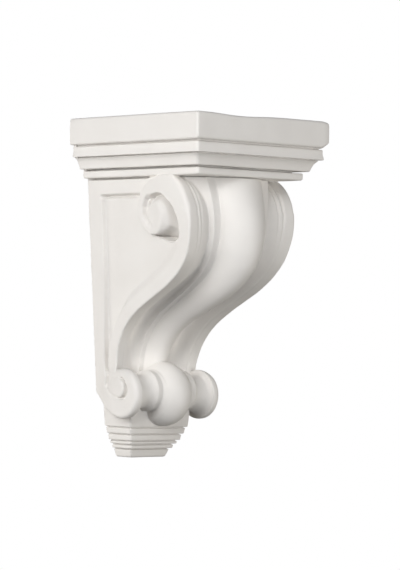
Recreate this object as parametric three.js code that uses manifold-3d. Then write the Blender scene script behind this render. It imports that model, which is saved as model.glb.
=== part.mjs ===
import * as THREE from "three";
import { mergeVertices } from "three/addons/utils/BufferGeometryUtils.js";
import Module from "manifold-3d";

const wasm = await Module();
wasm.setup();

// Overall size in millimetres. Heights are measured up from the foot, depths out from the wall.
const HEIGHT = 355.6;
const CAP_WIDTH = 190.5;
const CAP_DEPTH = 190.5;

// Cap courses from the top down. An inset is how far a course sits behind the fascia.
const FASCIA_HEIGHT = 28;
const FASCIA_EDGE = 3;
const SECOND_HEIGHT = 12.6;
const SECOND_INSET = 4;
const SECOND_HOLLOW = 0.9;
const COVE_HEIGHT = 11.9;
const COVE_TOP_INSET = 8.5;
const COVE_FOOT_INSET = 13;
const LOWER_HEIGHT = 9.3;
const LOWER_INSET = 19.9;
const LOWER_EDGE = 2;
const CAP_FOOT = HEIGHT - FASCIA_HEIGHT - SECOND_HEIGHT - COVE_HEIGHT - LOWER_HEIGHT;

// Raised border along the wall and under the cap, and the flared side panel inside it.
const BORDER_TOP_HALF = 71.1;
const BORDER_LOW_HALF = 55.2;
const BORDER_LOW_Z = 70;
const BORDER_FOOT_HALF = 45.5;
const BORDER_FOOT_Z = 58;
const BORDER_WIDTH = 21.2;
const TOP_STRIP_HEIGHT = 17.6;
const TOP_STRIP_REACH = 120;
const PANEL_DEPTH = 4.5;
const PANEL_FLARE = 0.1;

// Scroll: half-width along its height, the S-curve of its rim and its moulded face.
const SCROLL_HALF_MID = 68.7;
const SCROLL_MID_Z = 180;
const SCROLL_TAPER = 0.126;
const SCROLL_WIDEST_Z = 258;
const NOSE = { p: 161.4, z: 249.8 };
const SCROLL_TOP = { p: 120.3, z: 293.6 };
const RUN_IN_START = 112;
const RUN_IN_END = { p: 95, z: 300 };
const RUN_IN_HALF = 62;
const SCROLL_LOW = { p: 34.2, z: 84.3 };
const SCROLL_END_Z = 68;
const TOP_HANDLE = { p: 160.6, z: 279.9 };
const NOSE_RISE = 2.1;
const NOSE_DROP = 96.7;
const LOW_RISE = 98.1;
const SCROLL_STEPS = 36;
const BAND_WIDTH = 15.5;
const FACE_HALF = 77.4;
const RIM_INNER = 62;
const RIM_SLOPE = 1.7;
const HOLLOW_DEPTH = 9;
const HOLLOW_INNER = 38;
const FILLET_OUTER = 38.5;
const FILLET_INNER = 28.5;
const FILLET_DROP = 3.5;
const BULGE_RISE = 8.5;
const BELLY_RISE = 16;
const BELLY_LOW_Z = 145;
const BELLY_FULL_Z = 214;
const BELLY_HIGH_Z = 244;
const BELLY_TOP_RISE = 7;
const FLANK_FOOT = 54;
const FLANK_DEPTH = 26;
const MIDDLE_LEAD = { p: 147, z: 299 };
const MIDDLE_TOP = { p: 150, z: 292 };
const MIDDLE_HANDLE = { p: 155, z: 280 };
const MIDDLE_RISE = 16;
const MIDDLE_FLARE = 0.2;
const BEHIND = HOLLOW_DEPTH + 2;

// Upper volute on each side: spiral plate, round recess set off its centre, and eye.
const VOLUTE = { p: 114, z: 254 };
const VOLUTE_START = 82;
const VOLUTE_END = 245;
const VOLUTE_RADIUS = 40;
const VOLUTE_SHRINK = 0.1166;
const RECESS = { p: 119.2, z: 252.4 };
const RECESS_RADIUS = 24.8;
const RECESS_DEPTH = 5;
const EYE = { p: 114, z: 252.4 };
const EYE_RADIUS = 18.2;
const EYE_FACE_RADIUS = 12;
const EYE_RISE = 2.2;

// Lower spindle between two drums, turned about an axis across the piece.
const SPINDLE = { p: 44, z: 68.2 };
const DRUM_RADIUS = 26.2;
const DRUM_HALF = 61;
const DRUM_EDGE = 3.5;
const DRUM_INNER = 51.4;
const NECK_RADIUS = 17.4;
const NECK_START = 43;
const NECK_END = 34;
const LIP_RADIUS = 21.8;
const LIP_OUTER = 27.4;
const LIP_INNER = 20.4;
const BULB_RADIUS = 34;
const LOW_RECESS = { p: 41.3, z: 72.6 };
const LOW_RECESS_RADIUS = 13;
const LOW_RECESS_DEPTH = 3.5;
const LOW_EYE = { p: 39.2, z: 74.2 };
const LOW_EYE_RADIUS = 10.2;
const LOW_EYE_RISE = 2;

// Foot pendant: a plain block over courses that step in.
// Each course is the height of its foot, its inset there and the ledge below it.
const PENDANT_HALF = 43.4;
const PENDANT_DEPTH = 41.8;
const PENDANT_TOP = 78;
const PENDANT_FLARE = 2;
const FOOT_COURSES = [
  [32.4, 1.4, 1.7],
  [25.1, 4.4, 1.7],
  [18.2, 6.9, 2.1],
  [14.2, 9.6, 2.4],
  [9.4, 12.6, 2.7],
];
const FOOT_INSET = 18.4;
const FOOT_EDGE = 1.4;

// Pieces of the form run into each other by JOIN, and faces that would lie in one plane differ by SEAM.
const JOIN = 4;
const SEAM = 0.25;
const CUT_REACH = 30;

const ROUND_STEPS = 4;
const TURN_STEPS = 40;
const MERGE_LIMIT = 0.05;

const borderHalf = (z) => {
  const share = (z - BORDER_LOW_Z) / (CAP_FOOT - BORDER_LOW_Z);
  return BORDER_LOW_HALF + share * (BORDER_TOP_HALF - BORDER_LOW_HALF);
};

const scrollHalf = (z) => SCROLL_HALF_MID + SCROLL_TAPER * (Math.min(z, SCROLL_WIDEST_Z) - SCROLL_MID_Z);

const panelHalf = (p, z) => borderHalf(z) - PANEL_DEPTH + PANEL_FLARE * (p - BORDER_WIDTH);

function toSolid(geometry) {
  const bare = geometry.clone();
  bare.deleteAttribute("normal");
  bare.deleteAttribute("uv");
  const merged = mergeVertices(bare, 1e-3);
  const mesh = new wasm.Mesh({
    numProp: 3,
    vertProperties: new Float32Array(merged.attributes.position.array),
    triVerts: new Uint32Array(merged.index.array),
  });
  mesh.merge();
  return new wasm.Manifold(mesh);
}

// Moves each point across the piece to the half-width that a rule gives for its depth and height.
function widen(geometry, rule) {
  const at = geometry.attributes.position;
  for (let i = 0; i < at.count; i += 1) {
    at.setX(i, rule(at.getX(i), -at.getY(i), at.getZ(i)));
  }
  return geometry;
}

// A side outline, drawn as depth and height, carried across the piece between two positions.
function acrossPiece(shape, from, to) {
  const geometry = new THREE.ExtrudeGeometry(shape, {
    depth: to - from,
    bevelEnabled: false,
    curveSegments: ROUND_STEPS * 2,
  });
  const turn = new THREE.Matrix4().makeBasis(
    new THREE.Vector3(0, -1, 0),
    new THREE.Vector3(0, 0, 1),
    new THREE.Vector3(-1, 0, 0),
  );
  return geometry.applyMatrix4(turn).translate(to, 0, 0);
}

// A front outline, drawn as width and height, carried out from the wall between two depths.
function outFromWall(shape, from, to) {
  const geometry = new THREE.ExtrudeGeometry(shape, {
    depth: to - from,
    bevelEnabled: false,
    curveSegments: ROUND_STEPS * 2,
  });
  return geometry.rotateX(Math.PI / 2).translate(0, -from, 0);
}

// A turned piece whose axis runs across the corbel, with its profile given as radius and position.
function turned(points, centre) {
  const geometry = new THREE.LatheGeometry(points, TURN_STEPS);
  return geometry.rotateZ(-Math.PI / 2).translate(0, -centre.p, centre.z);
}

// Courses that run round the front and both sides with mitred corners, from one profile of inset and height.
function mitred(profile, half, depth) {
  const side = profile.map((q) => new THREE.Vector2(depth - q.x, q.y));
  const top = profile[profile.length - 1].y;
  const foot = profile[0].y;
  side.push(new THREE.Vector2(0, top), new THREE.Vector2(0, foot));
  const right = profile.map((q) => new THREE.Vector2(half - q.x, q.y));
  const left = right.map((q) => new THREE.Vector2(-q.x, q.y)).reverse();
  const across = toSolid(acrossPiece(new THREE.Shape(side), -half - 5, half + 5));
  const outward = toSolid(outFromWall(new THREE.Shape([...right, ...left]), 0, depth + 5));
  return across.intersect(outward);
}

function capProfile() {
  const lowerTop = CAP_FOOT + LOWER_HEIGHT;
  const coveTop = lowerTop + COVE_HEIGHT;
  const fasciaFoot = coveTop + SECOND_HEIGHT;
  const path = new THREE.Path();
  path.moveTo(LOWER_INSET + LOWER_EDGE, CAP_FOOT);
  path.quadraticCurveTo(LOWER_INSET, CAP_FOOT, LOWER_INSET, CAP_FOOT + LOWER_EDGE);
  path.lineTo(LOWER_INSET, lowerTop);
  path.lineTo(COVE_FOOT_INSET, lowerTop);
  path.quadraticCurveTo(COVE_FOOT_INSET, coveTop - 1.5, COVE_TOP_INSET, coveTop);
  path.lineTo(SECOND_INSET, coveTop);
  path.quadraticCurveTo(SECOND_INSET, fasciaFoot - 3, SECOND_INSET + SECOND_HOLLOW, fasciaFoot);
  path.lineTo(FASCIA_EDGE, fasciaFoot);
  path.quadraticCurveTo(0, fasciaFoot, 0, fasciaFoot + FASCIA_EDGE);
  path.lineTo(0, HEIGHT - FASCIA_EDGE);
  path.quadraticCurveTo(0, HEIGHT, FASCIA_EDGE, HEIGHT);
  return path.getPoints(ROUND_STEPS);
}

function footProfile() {
  const path = new THREE.Path();
  path.moveTo(FOOT_INSET + FOOT_EDGE, 0);
  path.quadraticCurveTo(FOOT_INSET, 0, FOOT_INSET, FOOT_EDGE);
  for (const [z, inset, ledge] of [...FOOT_COURSES].reverse()) {
    path.lineTo(inset + ledge, z);
    path.lineTo(inset + 0.4, z);
    path.quadraticCurveTo(inset, z, inset - 0.2, z + 0.9);
  }
  path.quadraticCurveTo(0, BORDER_FOOT_Z - 14, -PENDANT_FLARE, PENDANT_TOP);
  return path.getPoints(ROUND_STEPS - 1);
}

// The S-curve: the rim curls back at its top, and the middle of the face runs up under the cap.
function scrollCurve(lead, top, handle, noseRise) {
  const at = (q) => new THREE.Vector3(0, -q.p, q.z);
  const curve = new THREE.CurvePath();
  curve.add(new THREE.LineCurve3(at(lead), at(top)));
  const aboveNose = { p: NOSE.p, z: NOSE.z + noseRise };
  curve.add(new THREE.CubicBezierCurve3(at(top), at(handle), at(aboveNose), at(NOSE)));
  curve.add(new THREE.CubicBezierCurve3(
    at(NOSE),
    at({ p: NOSE.p, z: NOSE.z - NOSE_DROP }),
    at({ p: SCROLL_LOW.p, z: SCROLL_LOW.z + LOW_RISE }),
    at(SCROLL_LOW),
  ));
  curve.add(new THREE.LineCurve3(at(SCROLL_LOW), at({ p: SCROLL_LOW.p, z: SCROLL_END_Z })));
  return curve;
}

function mirroredShape(path) {
  const right = path.getPoints(ROUND_STEPS);
  const left = right.filter((q) => q.x > 0).map((q) => new THREE.Vector2(-q.x, q.y)).reverse();
  return new THREE.Shape([...right, ...left]);
}

// Rims on both sides that fall away in a broad cove to one wide hollow.
function rimSection() {
  const half = new THREE.Path();
  half.moveTo(FACE_HALF, BAND_WIDTH);
  half.lineTo(FACE_HALF, 1);
  half.lineTo(FACE_HALF - 1, 0);
  half.lineTo(RIM_INNER, RIM_SLOPE);
  half.bezierCurveTo(RIM_INNER - 8, 2 * RIM_SLOPE, HOLLOW_INNER + 6, HOLLOW_DEPTH, HOLLOW_INNER, HOLLOW_DEPTH);
  half.lineTo(0, HOLLOW_DEPTH);
  return mirroredShape(half);
}

// The raised middle of the face: a hollow flank, a flat fillet and the central bulge.
function middleSection() {
  const half = new THREE.Path();
  half.moveTo(FLANK_FOOT, FLANK_DEPTH);
  half.quadraticCurveTo(FILLET_OUTER + 2, HOLLOW_DEPTH + 4, FILLET_OUTER, FILLET_DROP);
  half.lineTo(FILLET_INNER, FILLET_DROP);
  const rise = FILLET_DROP + BULGE_RISE;
  const radius = (FILLET_INNER ** 2 + rise ** 2) / (2 * rise);
  const spread = Math.asin(FILLET_INNER / radius);
  const crown = Math.PI * 1.5;
  half.absarc(0, radius - BULGE_RISE, radius, crown + spread, crown, true);
  return mirroredShape(half);
}

// A point behind the deepest part of the scroll's face, as depth and height, at a share of the rim's length.
function behindRim(rim, share) {
  const spot = rim.getPointAt(share);
  const along = rim.getTangentAt(share);
  return new THREE.Vector2(-spot.y + along.z * BEHIND, spot.z + along.y * BEHIND);
}

function sweptAlong(section, line) {
  return new THREE.ExtrudeGeometry(section, { steps: SCROLL_STEPS, bevelEnabled: false, extrudePath: line });
}

function rimSolid(rim) {
  const swept = sweptAlong(rimSection(), rim);
  const tapered = widen(swept, (x, p, z) => {
    const wide = (x * scrollHalf(z)) / FACE_HALF;
    const behindTop = p < RUN_IN_START && z > NOSE.z;
    return behindTop ? THREE.MathUtils.clamp(wide, -RUN_IN_HALF, RUN_IN_HALF) : wide;
  });
  return toSolid(tapered).trimByPlane([0, 0, -1], -(CAP_FOOT + SEAM));
}

// How far the bulge swells out beyond its plain arc at a height: fullest by the nose, less under the cap.
function bellyRise(z) {
  const full = BELLY_RISE * THREE.MathUtils.smoothstep(z, BELLY_LOW_Z, BELLY_FULL_Z);
  return full - (BELLY_RISE - BELLY_TOP_RISE) * THREE.MathUtils.smoothstep(z, BELLY_HIGH_Z, CAP_FOOT);
}

function swellBulge(geometry) {
  const at = geometry.attributes.position;
  for (let i = 0; i < at.count; i += 1) {
    const share = Math.min(1, Math.abs(at.getX(i)) / FILLET_INNER);
    at.setY(i, at.getY(i) - bellyRise(at.getZ(i)) * Math.sqrt(1 - share ** 2));
  }
  return geometry;
}

function middleSolid() {
  const line = scrollCurve(MIDDLE_LEAD, MIDDLE_TOP, MIDDLE_HANDLE, MIDDLE_RISE);
  const swept = swellBulge(sweptAlong(middleSection(), line));
  const flare = (z) => SCROLL_TAPER * (z - SCROLL_MID_Z) + MIDDLE_FLARE * Math.max(0, z - SCROLL_WIDEST_Z);
  return toSolid(widen(swept, (x, p, z) => (x * (SCROLL_HALF_MID + flare(z))) / FACE_HALF));
}

function coreSolid(rim) {
  const foot = BORDER_LOW_Z + JOIN;
  const outline = [new THREE.Vector2(0, CAP_FOOT + JOIN)];
  for (let share = 0; share < 1; share += 0.05) {
    const spot = behindRim(rim, share);
    if (spot.y > foot) {
      outline.push(spot);
    }
  }
  outline.push(new THREE.Vector2(SCROLL_LOW.p - BEHIND, foot), new THREE.Vector2(0, foot));
  const block = acrossPiece(new THREE.Shape(outline), -1, 1);
  return toSolid(widen(block, (x, p, z) => Math.sign(x) * panelHalf(p, z)));
}

function borderSolid() {
  const right = [
    new THREE.Vector2(BORDER_FOOT_HALF, BORDER_FOOT_Z),
    new THREE.Vector2(BORDER_LOW_HALF, BORDER_LOW_Z),
    new THREE.Vector2(borderHalf(CAP_FOOT + JOIN), CAP_FOOT + JOIN),
  ];
  const left = right.map((q) => new THREE.Vector2(-q.x, q.y)).reverse();
  return toSolid(outFromWall(new THREE.Shape([...right, ...left]), 0, BORDER_WIDTH));
}

function topStripSolid() {
  const low = CAP_FOOT - TOP_STRIP_HEIGHT;
  const right = [
    new THREE.Vector2(borderHalf(low) - SEAM, low),
    new THREE.Vector2(borderHalf(CAP_FOOT + JOIN) - SEAM, CAP_FOOT + JOIN),
  ];
  const left = right.map((q) => new THREE.Vector2(-q.x, q.y)).reverse();
  return toSolid(outFromWall(new THREE.Shape([...right, ...left]), 0, TOP_STRIP_REACH));
}

// Spiral plate on one side, closed along the recess and the scroll's own band.
function voluteSolid(rim) {
  const outline = [];
  for (let angle = VOLUTE_START; angle <= VOLUTE_END; angle += 8) {
    const radius = VOLUTE_RADIUS - VOLUTE_SHRINK * (angle - VOLUTE_START);
    const turn = THREE.MathUtils.degToRad(angle);
    outline.push(new THREE.Vector2(VOLUTE.p + radius * Math.cos(turn), VOLUTE.z + radius * Math.sin(turn)));
  }
  for (let angle = 255; angle <= 360; angle += 12) {
    const turn = THREE.MathUtils.degToRad(angle);
    const radius = RECESS_RADIUS - 0.8;
    outline.push(new THREE.Vector2(RECESS.p + radius * Math.cos(turn), RECESS.z + radius * Math.sin(turn)));
  }
  for (let share = 0.28; share > 0.08; share -= 0.03) {
    outline.push(behindRim(rim, share));
  }
  const plate = acrossPiece(new THREE.Shape(outline), -1, 1);
  return toSolid(widen(plate, (x, p, z) => Math.sign(x) * (scrollHalf(z) - SEAM)));
}

function recessCut(centre, radius, floorHalf, side) {
  const shape = new THREE.Shape();
  shape.absarc(centre.p, centre.z, radius, 0, Math.PI * 2);
  const cut = acrossPiece(shape, Math.min(0, side * CUT_REACH), Math.max(0, side * CUT_REACH));
  return toSolid(widen(cut, (x, p, z) => side * floorHalf(z) + x));
}

function eyeSolid(centre, radius, faceRadius, baseHalf, faceHalf, side) {
  const path = new THREE.Path();
  path.moveTo(0, 0);
  path.lineTo(radius, 0);
  path.lineTo(radius, baseHalf);
  path.bezierCurveTo(radius - 0.5, faceHalf - 1, faceRadius + 1.5, faceHalf, faceRadius, faceHalf);
  path.lineTo(0, faceHalf + 0.8);
  const points = path.getPoints(ROUND_STEPS).map((q) => new THREE.Vector2(q.x, side * q.y));
  return toSolid(turned(side > 0 ? points : points.reverse(), centre));
}

function spindleSolid() {
  const half = new THREE.Path();
  half.moveTo(0, DRUM_HALF);
  half.lineTo(DRUM_RADIUS - DRUM_EDGE, DRUM_HALF);
  half.quadraticCurveTo(DRUM_RADIUS, DRUM_HALF, DRUM_RADIUS, DRUM_HALF - DRUM_EDGE);
  half.lineTo(DRUM_RADIUS, DRUM_INNER + 1);
  half.lineTo(DRUM_RADIUS - 1, DRUM_INNER);
  half.quadraticCurveTo(NECK_RADIUS, NECK_START + 5, NECK_RADIUS, NECK_START);
  half.lineTo(NECK_RADIUS, NECK_END);
  half.quadraticCurveTo(NECK_RADIUS, NECK_END - 2.5, LIP_RADIUS, LIP_OUTER);
  half.lineTo(LIP_RADIUS, LIP_INNER);
  const edge = Math.acos(LIP_RADIUS / BULB_RADIUS);
  const reach = LIP_INNER / Math.sin(edge);
  for (let i = 1; i <= ROUND_STEPS; i += 1) {
    const turn = edge * (1 - i / ROUND_STEPS);
    half.lineTo(BULB_RADIUS * Math.cos(turn), reach * Math.sin(turn));
  }
  const right = half.getPoints(ROUND_STEPS - 1);
  const left = right.slice(0, -1).map((q) => new THREE.Vector2(q.x, -q.y)).reverse();
  return toSolid(turned([...right, ...left].reverse(), SPINDLE));
}

function corbelSolid() {
  const rim = scrollCurve(RUN_IN_END, SCROLL_TOP, TOP_HANDLE, NOSE_RISE);
  let body = coreSolid(rim).add(borderSolid()).add(topStripSolid());
  body = body.add(rimSolid(rim)).add(middleSolid()).add(voluteSolid(rim)).add(spindleSolid());
  const floorHalf = (z) => scrollHalf(z) - RECESS_DEPTH;
  const lowFloorHalf = () => DRUM_HALF - LOW_RECESS_DEPTH;
  for (const side of [-1, 1]) {
    body = body.subtract(recessCut(RECESS, RECESS_RADIUS, floorHalf, side));
    body = body.subtract(recessCut(LOW_RECESS, LOW_RECESS_RADIUS, lowFloorHalf, side));
    const base = scrollHalf(EYE.z) - RECESS_DEPTH;
    const face = scrollHalf(EYE.z) + EYE_RISE;
    body = body.add(eyeSolid(EYE, EYE_RADIUS, EYE_FACE_RADIUS, base, face, side));
    const lowFace = DRUM_HALF + LOW_EYE_RISE;
    body = body.add(eyeSolid(LOW_EYE, LOW_EYE_RADIUS, LOW_EYE_RADIUS - 3.4, DRUM_HALF - 2, lowFace, side));
  }
  const cap = mitred(capProfile(), CAP_WIDTH / 2, CAP_DEPTH);
  const pendant = mitred(footProfile(), PENDANT_HALF, PENDANT_DEPTH);
  return body.add(cap).add(pendant).asOriginal().simplify(MERGE_LIMIT);
}

function toGeometry(solid) {
  const mesh = solid.getMesh();
  const geometry = new THREE.BufferGeometry();
  geometry.setAttribute("position", new THREE.BufferAttribute(new Float32Array(mesh.vertProperties), 3));
  geometry.setIndex(new THREE.BufferAttribute(new Uint32Array(mesh.triVerts), 1));
  geometry.computeVertexNormals();
  return geometry;
}

const primed = new THREE.MeshStandardMaterial({ color: 0xe8e4de, roughness: 0.6, metalness: 0 });
const corbel = new THREE.Mesh(toGeometry(corbelSolid()), primed);
corbel.name = "corbel";
corbel.position.z = -HEIGHT / 2;

const part = new THREE.Group();
part.add(corbel);

export default part;
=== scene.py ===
import math

import bpy
import numpy as np
import openvdb
from mathutils import Matrix, Vector


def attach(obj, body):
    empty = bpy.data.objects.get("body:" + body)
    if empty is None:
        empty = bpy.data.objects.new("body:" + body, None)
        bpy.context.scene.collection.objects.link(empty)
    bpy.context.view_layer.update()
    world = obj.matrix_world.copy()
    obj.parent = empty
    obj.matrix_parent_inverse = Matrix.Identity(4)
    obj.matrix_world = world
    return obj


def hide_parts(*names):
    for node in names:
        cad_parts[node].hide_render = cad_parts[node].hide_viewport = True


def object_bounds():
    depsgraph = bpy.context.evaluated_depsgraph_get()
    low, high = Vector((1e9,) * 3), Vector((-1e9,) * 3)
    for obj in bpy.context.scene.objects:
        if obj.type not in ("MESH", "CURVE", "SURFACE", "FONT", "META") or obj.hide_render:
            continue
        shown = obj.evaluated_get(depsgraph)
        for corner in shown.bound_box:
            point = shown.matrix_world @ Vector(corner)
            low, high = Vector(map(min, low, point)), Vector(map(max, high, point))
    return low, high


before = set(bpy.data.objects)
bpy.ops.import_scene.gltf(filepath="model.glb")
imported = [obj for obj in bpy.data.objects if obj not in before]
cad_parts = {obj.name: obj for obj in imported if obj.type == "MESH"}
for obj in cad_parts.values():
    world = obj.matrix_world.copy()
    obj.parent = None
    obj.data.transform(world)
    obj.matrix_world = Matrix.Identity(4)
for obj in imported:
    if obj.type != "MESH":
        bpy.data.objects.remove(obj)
cad_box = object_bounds()

# Lengths are in millimetres up to the finished mesh.
# Heights go up from the foot, depths go out from the wall.
WIDTH, DEPTH, HEIGHT = (round(1000 * float(high - low), 2) for low, high in zip(*cad_box))
CAP_HALF = WIDTH / 2
CAP_FOOT = 293.8

# Fineness of the mesh, and a distance that stands for nowhere near the surface.
VOXEL = 0.75
MAX_TRIANGLES = 190000
FAR = 30.0


def smooth_step(start, end, value):
    """Soft ramp from 0 at the start to 1 at the end, whichever way the two lie."""
    t = np.clip((value - start) / (end - start), 0.0, 1.0)
    return t * t * (3.0 - 2.0 * t)


def bell(value, centre, width):
    """Soft hump of height 1 round its centre."""
    return np.exp(-(((value - centre) / width) ** 2))


def soft_min(a, b, k):
    blend = np.maximum(k - np.abs(a - b), 0.0)
    return np.minimum(a, b) - blend * blend / (4.0 * k)


def soft_max(a, b, k):
    blend = np.maximum(k - np.abs(a - b), 0.0)
    return np.maximum(a, b) + blend * blend / (4.0 * k)


def outline_distance(points, a, b):
    """Signed distance from the closed outline to each place (a, b), negative inside."""
    pts = np.asarray(points, dtype=np.float64)
    nearest = np.full(a.shape, np.inf)
    inside = np.zeros(a.shape, dtype=bool)
    for (a0, b0), (a1, b1) in zip(pts, np.roll(pts, -1, axis=0)):
        da, db = a1 - a0, b1 - b0
        span = da * da + db * db
        if span == 0.0:
            continue
        t = np.clip(((a - a0) * da + (b - b0) * db) / span, 0.0, 1.0)
        gap = (a - a0 - t * da) ** 2 + (b - b0 - t * db) ** 2
        nearest = np.minimum(nearest, gap)
        crosses = (b0 > b) != (b1 > b)
        if db != 0.0:
            inside ^= crosses & (a < a0 + (b - b0) * da / db)
    away = np.sqrt(nearest)
    return np.where(inside, -away, away)


def bezier(points, steps):
    t = np.linspace(0.0, 1.0, steps)[:, None]
    p0, p1, p2, p3 = (np.array(q, dtype=float) for q in points)
    s = 1.0 - t
    return s**3 * p0 + 3 * s * s * t * p1 + 3 * s * t * t * p2 + t**3 * p3


def flowing(points, closed):
    """The same path with smooth curves between its points."""
    pts = np.array(points, dtype=float)
    ends = (pts[-1:], pts[:2]) if closed else (2 * pts[:1] - pts[1:2], 2 * pts[-1:] - pts[-2:-1])
    wide = np.vstack([ends[0], pts, ends[1]])
    out = []
    for a, b, c, d in zip(wide, wide[1:], wide[2:], wide[3:]):
        bend = 2 * a - 5 * b + 4 * c - d
        twist = 3 * b - a - 3 * c + d
        for t in np.linspace(0.0, 1.0, 6)[:-1]:
            out.append(0.5 * (2 * b + (c - a) * t + bend * t * t + twist * t**3))
    return np.array(out if closed else out + [pts[-1]])


def blurred(profile, reach):
    """A one-dimensional profile softened over a reach given in samples."""
    taps = np.arange(-int(3 * reach), int(3 * reach) + 1)
    weight = np.exp(-0.5 * (taps / reach) ** 2)
    padded = np.pad(profile, len(taps) // 2, mode="edge")
    return np.convolve(padded, weight / weight.sum(), mode="valid")


def blurred_map(values, reach):
    """A two-dimensional map softened the same way along both its axes."""
    taps = np.arange(-int(3 * reach) - 1, int(3 * reach) + 2)
    weight = np.exp(-0.5 * (taps / reach) ** 2)
    weight /= weight.sum()
    half = len(taps) // 2
    for axis in (0, 1):
        pad = [(half, half) if k == axis else (0, 0) for k in (0, 1)]
        wide = np.pad(values, pad, mode="edge")
        size = values.shape[axis]
        values = sum(w * np.take(wide, range(i, i + size), axis=axis) for i, w in enumerate(weight))
    return values


def rounded_profile(corners):
    """Points of an outline whose corners (a, b, radius) are rounded by short curves."""
    out = []
    count = len(corners)
    most_of_side, curve_points = 0.49, 6
    for i, (a, b, radius) in enumerate(corners):
        here = np.array([a, b])
        before = np.array(corners[i - 1][:2]) - here
        after = np.array(corners[(i + 1) % count][:2]) - here
        if radius == 0:
            out.append(here)
            continue
        reach_before = min(radius, most_of_side * np.linalg.norm(before))
        reach_after = min(radius, most_of_side * np.linalg.norm(after))
        start = here + before / np.linalg.norm(before) * reach_before
        end = here + after / np.linalg.norm(after) * reach_after
        for t in np.linspace(0.0, 1.0, curve_points):
            out.append((1 - t) ** 2 * start + 2 * t * (1 - t) * here + t * t * end)
    return np.array(out)


# The sampling grid covers one half of the corbel, from its middle plane outwards.
GRID_HALF, GRID_DEPTH, GRID_HEIGHT = 100, 196, 359
MARGIN_CELLS = 4
X = np.arange(0, int(GRID_HALF / VOXEL) + 1) * VOXEL
P = np.arange(-MARGIN_CELLS, int(GRID_DEPTH / VOXEL) + 1) * VOXEL
Z = np.arange(-MARGIN_CELLS, int(GRID_HEIGHT / VOXEL) + 1) * VOXEL
PZ_P, PZ_Z = np.meshgrid(P, Z, indexing="ij")
XP_X, XP_P = np.meshgrid(X, P, indexing="ij")

# The border on the wall flares from its foot to the cap, and its front edge runs out on the way.
BORDER_FOOT = 70
BORDER_FOOT_HALF = 55.2
BORDER_FLARE = 15.9
border_half = BORDER_FOOT_HALF + (Z - BORDER_FOOT) / (CAP_FOOT - BORDER_FOOT) * BORDER_FLARE
border_edge = np.interp(
    Z,
    [60, 93, 104, 119, 135, 156, 177, 219, 256, 300],
    [16, 15.9, 15.4, 15.8, 16.4, 17.5, 18.4, 19.3, 19.8, 20.2],
)

# The scroll flares too. Its rims stop widening at the volute, its middle widens more under the cap.
WAIST = 180
WAIST_HALF = 68.7
SCROLL_FLARE = 0.126
RIM_FLARE_END = 262
RIM_FLARE_EASE = 8
TOP_FLARE = 0.2
TOP_FLARE_FOOT = 258
rim_ease = RIM_FLARE_EASE * np.exp(-np.abs(Z - RIM_FLARE_END) / RIM_FLARE_EASE)
rim_height = np.minimum(Z, RIM_FLARE_END - rim_ease)
scroll_half = WAIST_HALF + SCROLL_FLARE * (rim_height - WAIST)
middle_half = WAIST_HALF + SCROLL_FLARE * (Z - WAIST) + TOP_FLARE * np.maximum(0, Z - TOP_FLARE_FOOT)

# S-curves in depth and height: the rims curl back at the top, the middle runs on up under the cap.
NOSE = (161.4, 249.8)
SHANK = 34.2
LOWER_CURVE = [NOSE, (161.4, 153.1), (SHANK, 182.4), (SHANK, 84.3)]


def curve_region(lead, upper):
    """Signed distance from an S-curve, positive in front of it."""
    behind, above = -120.0, 420.0
    line = np.vstack([[lead], bezier(upper, 40), bezier(LOWER_CURVE, 80)[1:], [(SHANK, 0.0)]])
    closed = np.vstack([line, [(behind, 0.0), (behind, above), (lead[0], above)]])
    return outline_distance(closed, PZ_P, PZ_Z)


rim_gap = curve_region((92.0, 303.0), [(127.0, 297.6), (151.0, 291.0), (161.6, 267.0), NOSE])
middle_gap = curve_region((154.0, 302.0), [(155.5, 292.0), (158.5, 281.0), (161.4, 267.0), NOSE])

# Sections across the face, drawn at one half-width: height of the surface in front of its S-curve.
FACE_HALF = 77.4
ROLL_HALF = 28.5
SECTION_END = 140.0
ACROSS = np.arange(0.0, SECTION_END, 0.25)


def rim_section():
    """Section of a rim: the hollow beside the middle roll, a fine groove, and the rise to the edge."""
    spots = [0, 36, 40, 42, 46, 52, 60.4, 61.6, 62.6, 64, FACE_HALF, SECTION_END]
    rises = [-9.0, -9.0, -8.8, -8.2, -6.4, -4.2, -2.0, -2.3, -2.0, -1.4, 0, 0]
    return blurred(np.interp(ACROSS, spots, rises), reach=2.4)


def middle_section():
    """Section of the middle: the round roll, the fillet beside it and the flank behind the rim."""
    fillet_out, drop, crown = 38.5, 3.5, 8.5
    rise = drop + crown
    radius = (ROLL_HALF**2 + rise**2) / (2 * rise)
    roll = np.sqrt(np.maximum(radius**2 - ACROSS**2, 0)) - radius + crown
    flank = np.interp(ACROSS, [fillet_out, 40.2, 42.5, 46, 56, 70], [-drop, -6.5, -10.5, -15, -26, -60])
    face = np.where(ACROSS < ROLL_HALF, roll, np.where(ACROSS < fillet_out, -drop, flank))
    return blurred(face, reach=0.9)


def path_groove(path, sink, width):
    """Depth of a soft groove that follows a path of depths and heights."""
    groove = np.zeros(PZ_P.shape)
    path = np.array(path, dtype=float)
    for a, b, deep_a, deep_b in zip(path, path[1:], sink, sink[1:]):
        step = b - a
        t = np.clip(((PZ_P - a[0]) * step[0] + (PZ_Z - a[1]) * step[1]) / (step @ step), 0, 1)
        away = np.hypot(PZ_P - a[0] - t * step[0], PZ_Z - a[1] - t * step[1])
        groove = np.maximum(groove, (deep_a + (deep_b - deep_a) * t) * bell(away, 0, width))
    return groove


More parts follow.
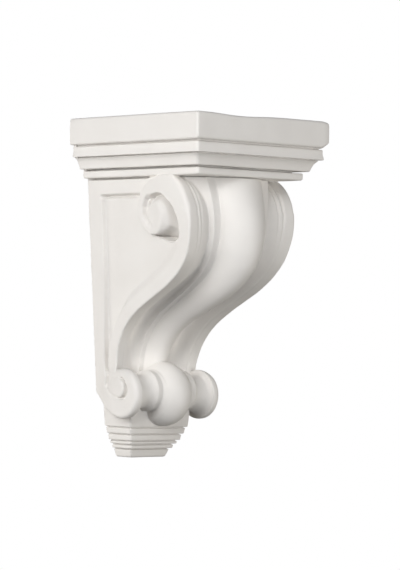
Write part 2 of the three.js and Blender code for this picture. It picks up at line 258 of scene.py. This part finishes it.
def panel_and_band(border, scroll):
    """Half-width of the plain side: raised border, sunk panel and the scroll's band along the rim."""
    sink, flare, flare_from, low_sink = 4.5, 0.082, 22.9, 0.8
    panel = border - sink + flare * (PZ_P - flare_from) - low_sink * smooth_step(150, 115, PZ_Z)

    top_rail, rail_run = 276.4, 1.5
    border_run = 1.8 + 2.2 * smooth_step(105, 150, PZ_Z)
    out_of_border = np.minimum((PZ_P - border_edge) / border_run, (top_rail - PZ_Z) / rail_run)
    border_rise = (border - panel) * (1 - smooth_step(0.0, 1.0, out_of_border))

    band_width, volute_foot = 13.2, 250
    band_run = 1.8 + 11.0 * smooth_step(120, 185, PZ_Z)
    band_rise = (scroll - panel) * (1 - smooth_step(0.0, 1.0, (-rim_gap - band_width) / band_run))
    band_rise = band_rise * np.maximum(smooth_step(112, 120, PZ_P), PZ_Z < volute_foot)
    return panel + soft_max(border_rise, band_rise, k=1.2)


# The upper volute: its lower outline, the rim of its sunk channel, and the boss with its coil.
VOLUTE_FOOT = [(88.5, 247.4), (92.7, 240.8), (98.2, 236.1), (105.1, 233.2), (112.6, 231.6), (118.7, 230.2)]
CHANNEL_FOOT = [(124.8, 228.2), (132.6, 226.8), (139.6, 228.0), (143.6, 232.0)]
CHANNEL_RIM = [(144.6, 241.1), (142.2, 251.2), (136.8, 261.2), (130.2, 268.2)]
CHANNEL_RIM += [(120.4, 275.0), (113.5, 276.2), (102.0, 273.4)]
BOSS_OUT, BOSS_UP = 110.6, 250.9
BOSS_RADIUS_OUT, BOSS_RADIUS_UP, BOSS_LEAN = 13.6, 16.9, 2.2
BOSS_BACK = [(99.4, 268.0), (96.6, 260.0), (97.0, 250.0), (101.0, 239.6)]
COIL = [(101, 272), (97.5, 269), (95.2, 262), (95.3, 255), (99, 247), (104, 243)]
COIL_SINK = [5.0, 6.0, 6.0, 5.4, 4.0, 0.8]


def volute_outline():
    """A spiral over the top and down the back, then the foot, then the front inside the rim."""
    spiral_out, spiral_up, widest, tightening = 114, 254, 40, 0.1166
    first, last = 82, 190
    turn = np.radians(np.arange(first, last, 4))
    radius = widest - tightening * (np.degrees(turn) - first)
    spiral = np.stack([spiral_out + radius * np.cos(turn), spiral_up + radius * np.sin(turn)], axis=1)
    foot = flowing(VOLUTE_FOOT + CHANNEL_FOOT, False)
    front = [(152.0, 244.0), (152.0, 262.0), (144.0, 276.0), (130.0, 286.0)]
    return np.vstack([spiral, foot, front])


def boss_outline():
    turn = np.radians(np.arange(-97, 263, 15))
    out = BOSS_OUT + BOSS_RADIUS_OUT * np.cos(turn) + BOSS_LEAN * np.sin(turn)
    return np.stack([out, BOSS_UP + BOSS_RADIUS_UP * np.sin(turn)], axis=1)


def upper_volute(surface, scroll):
    """The side with the volute raised on it, its channel carved in and the boss left standing."""
    in_volute = outline_distance(volute_outline(), PZ_P, PZ_Z)
    surface = surface + (scroll - surface) * (1 - smooth_step(-0.4, 1.8, in_volute))

    boss = outline_distance(boss_outline(), PZ_P, PZ_Z)
    rim_line = flowing(CHANNEL_FOOT + CHANNEL_RIM + BOSS_BACK + VOLUTE_FOOT[3:], True)
    rim = outline_distance(rim_line, PZ_P, PZ_Z)
    boss_rise, edge_drop, dish, channel_depth = 2.2, 0.9, 0.7, 21.0
    crown = scroll + boss_rise * smooth_step(100, 120, PZ_P)
    crown = crown - edge_drop * smooth_step(-3.0, 0.0, boss) - dish * smooth_step(-6, -12, boss)

    from_boss = np.clip(boss, 0, None)
    across = from_boss / np.maximum(from_boss + np.clip(-rim, 0, None), 0.01)
    sink = np.interp(across, [0, 0.05, 0.22, 0.30, 0.44, 1.0], [0, 0.03, 0.13, 0.22, 0.60, 1.35])
    shallow_top = 1 - 0.55 * smooth_step(250, 274, PZ_Z)
    shallow_back = 0.12 + 0.88 * smooth_step(94, 110, PZ_P)
    deep = channel_depth * shallow_top * shallow_back
    carved = np.minimum(surface, crown - edge_drop - deep * sink)
    surface = surface + (carved - surface) * smooth_step(0.2, -0.9, np.maximum(rim, -boss))
    surface = surface + np.maximum(crown - surface, 0) * smooth_step(0.7, -0.7, boss)
    return surface - path_groove(COIL, COIL_SINK, width=2.2)


# The lower volute: the channel round its eye, and the hooked groove that parts it from the border.
EYE_OUT, EYE_UP, EYE_RADIUS = 39.2, 74.0, 10.4
EYE_RIM = [(41.5, 85.4), (47.8, 83.6), (51.7, 79.0), (54.6, 73.4)]
EYE_RIM += [(54.3, 68.2), (51.3, 63.9), (45.9, 61.7), (40.2, 62.2)]
EYE_SIDE = [(40.8, 63.8), (44.7, 64.4), (48.3, 67.5), (49.7, 72.2)]
EYE_SIDE += [(48.5, 77.4), (45.1, 81.4), (40.4, 83.6)]
HOOK = [(17.9, 108), (18.4, 97.3), (19.4, 92), (21.8, 87.9), (20.6, 82.6)]
HOOK += [(19.2, 77.3), (20.4, 73), (24, 69.4), (31.4, 65.0), (40, 62.6)]
HOOK_SINK = [2.5, 4.6, 5.2, 5.0, 4.4, 3.4, 2.0, 1.1, 1.1, 1.6]


def lower_volute():
    """Half-width of the lower volute's face, which runs back into the border."""
    back_half, front_gain, channel_depth = 56.4, 4.6, 5.6
    face = back_half + front_gain * smooth_step(2, 40, PZ_P)
    channel = outline_distance(flowing(EYE_RIM + EYE_SIDE, True), PZ_P, PZ_Z)
    depth = channel_depth * smooth_step(37, 47, PZ_P)
    face = face - depth * smooth_step(0.3, -1.1, channel)
    from_eye = np.hypot(PZ_P - EYE_OUT, PZ_Z - EYE_UP) - EYE_RADIUS
    eye_half, eye_gain, edge_drop = 61.2, 1.1, 0.7
    crown = eye_half + eye_gain * smooth_step(32, 46, PZ_P) - edge_drop * smooth_step(-2.5, 0, from_eye)
    eye_rise = np.maximum(crown - face, 0) * smooth_step(1.4, -0.6, from_eye)
    return face + eye_rise * smooth_step(28, 34, PZ_P)


def side_surface():
    """Half-width of the side face over depth and height: border, panel, scroll band and both volutes."""
    border = np.broadcast_to(border_half, PZ_P.shape)
    scroll = np.broadcast_to(scroll_half, PZ_P.shape)
    surface = upper_volute(panel_and_band(border, scroll), scroll)
    cap_quirk, rail_foot = 5.5, 274.7
    under_cap = smooth_step(292.0, 292.7, PZ_Z) * smooth_step(98, 92, PZ_P) * smooth_step(2, 8, PZ_P)
    rail_quirk = path_groove([(21, rail_foot), (86, rail_foot)], [3.4, 6.4], width=1.6)
    surface = surface - cap_quirk * under_cap - rail_quirk
    low = lower_volute()
    surface = surface + (low - surface) * smooth_step(100, 84, PZ_Z) * smooth_step(0, 16, PZ_P)
    return surface - path_groove(HOOK, HOOK_SINK, width=1.8)


def by_height(outline, reach_x, reach_p, rounding):
    """Courses round the front and sides with soft mitred corners, from an outline of inset and height."""
    margin, inmost, outmost, fineness = 8, 10, 12, 0.25
    low, high = outline[:, 1].min() - margin, outline[:, 1].max() + margin
    insets = np.arange(-max(reach_x, reach_p) - inmost, outmost, fineness)
    out = np.full((len(X), len(P), len(Z)), FAR, dtype=np.float32)
    rows = np.flatnonzero((Z > low) & (Z < high))
    table = outline_distance(outline, *np.meshgrid(insets, Z[rows], indexing="ij"))
    for column, k in enumerate(rows):
        corner = soft_max(XP_X - reach_x, XP_P - reach_p, np.interp(Z[k], *rounding))
        out[:, :, k] = np.interp(corner, insets, table[:, column])
    return out


def cap_outline(quirk):
    """The cap's courses from the bottom up. A quirk of 1 cuts dark slots under them, 0 cuts none."""
    inner = -250
    cove_inset, cove_run, cove_height, straight_share, arc_share = -12.9, 8.4, 11.9, 0.28, 0.72
    foot, lower = CAP_FOOT, CAP_FOOT + 9.3
    cove, fascia = lower + cove_height, lower + 24.5
    low_slot = -18.4 - 7.6 * quirk
    cove_slot = -6.0 - 3.0 * quirk
    high_slot = -3.8 - 2.8 * quirk
    corners = [(inner, foot, 0), (-18.0, foot, 2.0), (-18.0, lower - 2.0, 0.7)]
    corners += [(low_slot, lower - 1.7, 0.3), (low_slot, lower + 0.3, 0.3), (cove_inset, lower, 0.9)]
    for u in np.linspace(0.12, 0.95, 6):
        sweep = straight_share * u + arc_share * (1 - math.sqrt(1 - u * u))
        corners.append((cove_inset + cove_run * sweep, lower + cove_height * u, 0))
    corners += [(cove_slot, cove - 0.5, 0.3), (cove_slot, cove + 0.7, 0.3), (-2.2, cove + 0.2, 1.2)]
    corners += [(-3.7, cove + 6.5, 4.0), (-3.4, fascia - 1.8, 0.8)]
    corners += [(high_slot, fascia - 1.4, 0.3), (high_slot, fascia + 0.4, 0.3)]
    corners += [(1.4, fascia, 3.6), (1.6, fascia + 14, 8.0), (1.4, HEIGHT, 3.0), (inner, HEIGHT, 0)]
    return rounded_profile(corners)


def foot_outline():
    """The foot's courses from the bottom up, each with a narrow dark slot under its edge."""
    inner, top = -100, 78.0
    corners = [(inner, 0, 0), (-18.4, 0, 1.8)]
    courses = [(9.4, 12.6, 2.7), (14.2, 9.6, 2.4), (18.2, 6.9, 2.1), (25.1, 4.4, 1.7), (32.4, 1.4, 1.7)]
    for z, inset, ledge in courses:
        back = -inset - ledge
        corners += [(back, z - 1.1, 0.4), (back - 1.8, z - 0.6, 0.3)]
        corners += [(back - 1.6, z + 0.7, 0.3), (-inset, z, 1.2)]
    corners += [(0.0, 46.0, 8.0), (1.6, top, 0), (inner, top, 0)]
    return rounded_profile(corners)


def spindle_outline():
    """Half of the turned outline, from the drum at the side in to the bulb in the middle."""
    bulb_radius, collar_half, collar_radius = 34.0, 20.4, 21.4
    profile = [(-5, -5, 0), (66, -5, 0), (66, 26.3, 0), (51.4, 26.3, 1.0), (50.8, 23.4, 0.8)]
    profile += [(48.0, 20.8, 1.6), (42.0, 18.6, 3.0), (36.0, 17.4, 2.0), (33.2, 17.6, 1.4)]
    profile += [(30.8, 18.8, 1.2), (27.2, 21.8, 0.5), (collar_half, collar_radius, 0.4)]
    edge = math.acos(collar_radius / bulb_radius)
    reach = collar_half / math.sin(edge)
    for turn in np.linspace(edge, 0.0, 14)[1:]:
        profile.append((reach * math.sin(turn), bulb_radius * math.cos(turn), 0))
    profile.append((-5, bulb_radius, 0))
    return rounded_profile(profile)


def spindle(face):
    """The turned spindle across the foot of the scroll, with its drums cut to the carved face."""
    back, front, low, high, widest, fineness = -4, 92, 18, 120, 60.0, 0.3
    radii = np.arange(0.0, widest, fineness)
    table = outline_distance(spindle_outline(), *np.meshgrid(X, radii, indexing="ij"))
    out = np.full((len(X), len(P), len(Z)), FAR, dtype=np.float32)
    columns = np.flatnonzero((P > back) & (P < front))
    rows = np.flatnonzero((Z > low) & (Z < high))
    for i, x in enumerate(X):
        axis_out = np.interp(x, [0, 17, 21, 28, 48], [45.2, 45.2, 45.8, 45.8, 43.2])
        axis_up = np.interp(x, [0, 17, 20.4, 28, 36, 48], [68.0, 68.2, 71.4, 71.4, 70.0, 68.0])
        radius = np.hypot(P[columns][:, None] - axis_out, Z[rows][None, :] - axis_up)
        out[i, columns[0] : columns[-1] + 1, rows[0] : rows[-1] + 1] = np.interp(radius, radii, table[i])
    cut = X[:, None, None] - face[None].astype(np.float32)
    return soft_max(out, cut, k=6.0)


# Underside of the border: it winds down from the wall into the drum.
UNDERSIDE = [(-6.0, 71.5), (0.0, 67.0), (2.0, 65.4), (6.0, 61.4), (13.2, 55.2)]
UNDERSIDE += [(20.0, 50.4), (26.0, 47.4), (33.0, 45.0), (42.0, 43.0)]


def rim_rise():
    """Height of the rims: two fine lines in the upper half, a deeper hollow in the lower."""
    line_depth, line_width, hollow_depth, hollow_width = 1.8, 1.2, 2.4, 6.5
    across = X[:, None] * FACE_HALF / scroll_half[None]
    rise = np.interp(across, ACROSS, rim_section())
    lines = bell(across, 62, line_width) + bell(across, 56, line_width)
    rise = rise - line_depth * lines * smooth_step(205, 272, Z)[None]
    stretch = smooth_step(205, 170, Z) * smooth_step(98, 122, Z)
    return rise - hollow_depth * (bell(across, 46, hollow_width) * stretch[None])


def middle_rise():
    """Height of the middle roll: narrow below, swelling out in the upper half."""
    narrow = np.interp(Z, [120, 165, 190, 218], [0.76, 0.79, 0.89, 1.0])
    across = X[:, None] * FACE_HALF / (middle_half * narrow)[None]
    rise = np.interp(across, ACROSS, middle_section())
    belly = blurred(np.sqrt(np.clip(1 - (ACROSS / ROLL_HALF) ** 2, 0, None)), reach=0.9)
    heights = [110, 135, 160, 182, 200, 215, 245, 262, 277, 292]
    swell = np.interp(Z, heights, [0, 3, 7, 11.5, 14, 14.5, 13, 10, 7, 4])
    return rise + np.interp(across, ACROSS, belly) * swell[None]


def body(side):
    """The scroll body: side surface and moulded face, met in a soft edge along the rims."""
    slope_p, slope_z = np.gradient(side, VOXEL)
    steep = 1.0 / np.sqrt(1.0 + slope_p**2 + slope_z**2)
    sides = ((X[:, None, None] - side[None]) * steep[None]).astype(np.float32)
    rim = rim_rise()
    middle = middle_rise()
    flat = 1.0 / np.sqrt(1.0 + np.gradient(middle, VOXEL, axis=0) ** 2)
    rim_front = (rim_gap[None] - rim[:, None, :]).astype(np.float32)
    middle_front = ((middle_gap[None] - middle[:, None, :]) * flat[:, None, :]).astype(np.float32)
    valley_softness = 2.0 + 3.0 * smooth_step(200, 170, Z)[None, None, :]
    front = soft_min(rim_front, middle_front, valley_softness)
    edge_softness = 2.2 + 3.6 * smooth_step(232, 262, Z)[None, None, :]
    whole = soft_max(sides, front, edge_softness)

    deep_inside = -20.0
    above_underside = UNDERSIDE + [(80.0, 43.0), (80.0, 400.0), (-6.0, 400.0)]
    under = outline_distance(above_underside, PZ_P, PZ_Z)
    under = np.where((PZ_Z < 110) & (PZ_P < 60), under, deep_inside)
    whole = soft_max(whole, under[None].astype(np.float32), k=3.0)

    face_top, joint_gain = 293.1, 1.1
    joint = np.maximum(smooth_step(-9.0, -13.0, front), smooth_step(64, 69, X)[:, None, None])
    top = face_top + joint_gain * joint
    return np.maximum(whole, (Z[None, None, :] - top).astype(np.float32))


def unevenness():
    """Slight waviness of a casting, a fraction of a millimetre."""

    def waves(length_x, shift_x, length_p, shift_p, length_z, shift_z):
        a = np.sin(X * (2 * math.pi / length_x) + shift_x)
        b = np.sin(P * (2 * math.pi / length_p) + shift_p)
        c = np.sin(Z * (2 * math.pi / length_z) + shift_z)
        return a[:, None, None] * b[None, :, None] * c[None, None, :]

    broad = waves(61, 0.4, 83, 1.1, 57, 2.0)
    fine = waves(37, 2.2, 29, 0.3, 43, 5.1)
    return (0.16 * broad + 0.10 * fine).astype(np.float32)


def corbel_field():
    """Signed distance from the whole corbel. At the wall the cap's end is plain, without its slots."""
    foot_half, foot_depth, plain_end = 43.4, 41.8, 4.0
    foot_rounding = ([0, 80], [2.2, 2.2])
    cap_rounding = ([325, 331], [3.4, 2.4])
    side = blurred_map(side_surface(), reach=0.55)
    field = soft_min(body(side), spindle(side), k=0.9)
    field = soft_min(field, by_height(foot_outline(), foot_half, foot_depth, foot_rounding), k=0.5)
    plain_cap = by_height(cap_outline(0.0), CAP_HALF, DEPTH, cap_rounding)
    cap_end = np.maximum(plain_cap, (P - plain_end)[None, :, None])
    field = soft_min(field, by_height(cap_outline(1.0), CAP_HALF, DEPTH, cap_rounding), k=0.5)
    field = np.minimum(field, cap_end).astype(np.float32)
    field += unevenness()
    flat = np.maximum(-P[None, :, None], np.maximum(Z - HEIGHT, -Z)[None, None, :]).astype(np.float32)
    field = np.maximum(field, flat)
    return np.concatenate([field[:0:-1], field], axis=0)


def casting_lean(points):
    """The casting's flaws: waist lower on the right, worn right fascia corner, sagging top edge."""
    heights = [-10, 0, 60, 95, 130, 155, 180, 205, 235, 400]
    lean = [0.7, 0.8, 1.5, 1.6, 2.3, 2.6, 1.7, 0.6, 0.0, 0.0]
    lean_at, edge_lift, top_drop, corner_wear, sag_depth = 65.0, 4.0, 1.2, 0.7, 1.9
    points[:, 2] -= np.interp(points[:, 2], heights, lean) * points[:, 0] / lean_at
    out, across, up = points[:, 1], points[:, 0], points[:, 2].copy()
    worn = smooth_step(84, 97, across) * smooth_step(179, 192, out)
    low_edge = smooth_step(335, 328, up) * smooth_step(325.5, 327.5, up)
    points[:, 2] += worn * (edge_lift * low_edge - top_drop * smooth_step(346, 356, up))
    points[:, :2] -= (corner_wear * worn**2 * smooth_step(326, 329, up))[:, None]
    sag = bell(across, -32, 34) * smooth_step(150, 188, out)
    points[:, 2] -= sag_depth * sag * smooth_step(335, 356, up)
    return points


def mesh_from(name, points, faces):
    mesh = bpy.data.meshes.new(name)
    mesh.vertices.add(len(points))
    mesh.vertices.foreach_set("co", points.astype(np.float32).ravel())
    mesh.loops.add(faces.size)
    mesh.loops.foreach_set("vertex_index", faces.astype(np.int32).ravel())
    mesh.polygons.add(len(faces))
    mesh.polygons.foreach_set("loop_start", np.arange(0, faces.size, faces.shape[1], dtype=np.int32))
    mesh.update(calc_edges=True)
    mesh.validate()
    return mesh


def scene_object(name, data):
    made = bpy.data.objects.new(name, data)
    bpy.context.scene.collection.objects.link(made)
    return made


def casting_surface():
    """Points in metres and outward triangles of the corbel's surface."""
    reach = 4 * VOXEL
    grid = openvdb.FloatGrid(reach)
    grid.copyFromArray(np.clip(corbel_field(), -reach, reach))
    points, quads = grid.convertToQuads(0.0)
    points = points.astype(np.float64) * VOXEL
    points[:, 0] -= X[-1]
    points[:, 1] += P[0]
    points[:, 2] += Z[0]
    points = casting_lean(points)
    placed = np.stack([points[:, 0], -points[:, 1], points[:, 2] - HEIGHT / 2], axis=1) / 1000.0
    triangles = np.vstack([quads[:, [0, 1, 2]], quads[:, [0, 2, 3]]])
    a, b, c = (placed[triangles[:, i]] for i in range(3))
    if np.einsum("ij,ij->i", a, np.cross(b, c)).sum() < 0:
        triangles = triangles[:, ::-1]
    return placed, triangles


def corbel_piece():
    """The casting, thinned to its triangle limit, smooth apart from its edges and its flat back."""
    edge_angle, facing_wall = 38, 0.99
    points, triangles = casting_surface()
    piece = scene_object("corbel_casting", mesh_from("corbel_casting", points, triangles))
    thin = piece.modifiers.new("thin", "DECIMATE")
    thin.ratio = min(1.0, MAX_TRIANGLES / len(triangles))
    bpy.context.view_layer.update()
    lighter = bpy.data.meshes.new_from_object(piece.evaluated_get(bpy.context.evaluated_depsgraph_get()))
    piece.modifiers.clear()
    piece.data = lighter
    lighter.name = "corbel_casting"
    lighter.shade_smooth()
    lighter.set_sharp_from_angle(angle=math.radians(edge_angle))
    for face in lighter.polygons:
        face.use_smooth = face.normal.y < facing_wall
    return piece


def noise(tree, place, scale, detail):
    texture = tree.nodes.new("ShaderNodeTexNoise")
    texture.inputs["Scale"].default_value = scale
    texture.inputs["Detail"].default_value = detail
    tree.links.new(place.outputs["Object"], texture.inputs["Vector"])
    return texture.outputs["Fac"]


def bump(tree, height, strength, distance):
    relief = tree.nodes.new("ShaderNodeBump")
    relief.inputs["Strength"].default_value = strength
    relief.inputs["Distance"].default_value = distance
    tree.links.new(height, relief.inputs["Height"])
    return relief


def primer_material():
    """Factory primer: a slightly clouded off-white, a patchy low sheen, fine grain over dimples."""
    material = bpy.data.materials.new("primed_polyurethane")
    material.use_nodes = True
    tree = material.node_tree
    shader = tree.nodes["Principled BSDF"]
    shader.inputs["Specular IOR Level"].default_value = 0.35
    place = tree.nodes.new("ShaderNodeTexCoord")

    tint = tree.nodes.new("ShaderNodeValToRGB")
    tint.color_ramp.elements[0].position = 0.3
    tint.color_ramp.elements[0].color = (0.792, 0.768, 0.738, 1)
    tint.color_ramp.elements[1].position = 0.7
    tint.color_ramp.elements[1].color = (0.824, 0.802, 0.774, 1)
    tree.links.new(noise(tree, place, scale=22.0, detail=3.0), tint.inputs["Fac"])
    tree.links.new(tint.outputs["Color"], shader.inputs["Base Color"])

    gloss = tree.nodes.new("ShaderNodeMapRange")
    gloss.inputs["To Min"].default_value = 0.46
    gloss.inputs["To Max"].default_value = 0.64
    tree.links.new(noise(tree, place, scale=45.0, detail=4.0), gloss.inputs["Value"])
    tree.links.new(gloss.outputs["Result"], shader.inputs["Roughness"])

    fine_noise = noise(tree, place, scale=420.0, detail=3.0)
    grain = bump(tree, fine_noise, strength=0.10, distance=0.0006)
    soft_noise = noise(tree, place, scale=45.0, detail=2.0)
    dimples = bump(tree, soft_noise, strength=0.25, distance=0.002)
    tree.links.new(grain.outputs["Normal"], dimples.inputs["Normal"])
    tree.links.new(dimples.outputs["Normal"], shader.inputs["Normal"])
    return material


def stage_floor():
    material = bpy.data.materials.new("pale_floor")
    material.use_nodes = True
    shader = material.node_tree.nodes["Principled BSDF"]
    shader.inputs["Base Color"].default_value = (0.86, 0.85, 0.83, 1)
    shader.inputs["Roughness"].default_value = 0.8
    size, level = 2.0, -1.5
    corners = [(-size, -size, level), (size, -size, level), (size, size, level), (-size, size, level)]
    mesh = mesh_from("floor", np.array(corners), np.array([[0, 1, 2, 3]]))
    mesh.materials.append(material)
    floor = scene_object("floor", mesh)
    floor.visible_diffuse = False


def heading(azimuth, elevation):
    """Direction out from the object, in degrees round from its front and up from level."""
    a, e = math.radians(azimuth), math.radians(elevation)
    return Vector((math.sin(a) * math.cos(e), -math.cos(a) * math.cos(e), math.sin(e)))


def soft_light(name, azimuth, elevation, power, colour):
    lamp = bpy.data.lights.new(name, "AREA")
    lamp.shape = "DISK"
    lamp.size = 1.1
    lamp.energy = power
    lamp.color = colour
    holder = scene_object(name, lamp)
    aim = Vector((0, -0.08, 0))
    distance = 2.2
    holder.location = aim + heading(azimuth, elevation) * distance
    holder.rotation_euler = (aim - holder.location).to_track_quat("-Z", "Y").to_euler()


def white_studio():
    """A white backdrop that gives little light itself, and six soft boxes round the object."""
    world = bpy.data.worlds.new("white_studio")
    bpy.context.scene.world = world
    world.use_nodes = True
    nodes, links = world.node_tree.nodes, world.node_tree.links
    light = nodes["Background"]
    light.inputs["Color"].default_value = (1, 1, 1, 1)
    light.inputs["Strength"].default_value = 0.02
    seen = nodes.new("ShaderNodeBackground")
    seen.inputs["Color"].default_value = (1, 1, 1, 1)
    seen.inputs["Strength"].default_value = 1.0
    path = nodes.new("ShaderNodeLightPath")
    mix = nodes.new("ShaderNodeMixShader")
    links.new(path.outputs["Is Camera Ray"], mix.inputs["Fac"])
    links.new(light.outputs["Background"], mix.inputs[1])
    links.new(seen.outputs["Background"], mix.inputs[2])
    links.new(mix.outputs["Shader"], nodes["World Output"].inputs["Surface"])
    white, pale_warm, warm = (1, 1, 1), (1, 0.96, 0.91), (1, 0.94, 0.83)
    soft_light("key_box", -68, 18, 23.2, white)
    soft_light("left_box", -90, 5, 14.0, white)
    soft_light("high_box", -45, 32, 8.0, white)
    soft_light("front_box", 0, -8, 18.2, white)
    soft_light("rear_left_box", -150, -25, 20.0, pale_warm)
    soft_light("low_right_box", 60, -25, 10.6, warm)
    bpy.context.scene.view_settings.view_transform = "Standard"


def photo_camera():
    azimuth, elevation, roll, distance = -44.233, -0.409, 0.781, 2.635878
    aim_right, aim_out, aim_height = 0.018274, -0.080, 183.699
    focal_pixels, photo_height_pixels, sensor = 2502.474, 570, 36.0
    aim = Vector((aim_right, aim_out, (aim_height - HEIGHT / 2) / 1000))
    camera = scene_object("camera", bpy.data.cameras.new("camera"))
    camera.data.sensor_width = sensor
    camera.data.lens = focal_pixels / photo_height_pixels * sensor
    camera.data.clip_start = 0.05
    camera.data.clip_end = 50
    back = heading(azimuth, elevation)
    turn = (-back).to_track_quat("-Z", "Y").to_matrix().to_4x4()
    tilt = Matrix.Rotation(math.radians(roll), 4, "Z")
    camera.matrix_world = Matrix.Translation(aim + back * distance) @ turn @ tilt
    bpy.context.scene.camera = camera


casting = corbel_piece()
casting.data.materials.clear()
casting.data.materials.append(primer_material())
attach(casting, "root")
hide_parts("corbel")
stage_floor()
white_studio()
photo_camera()
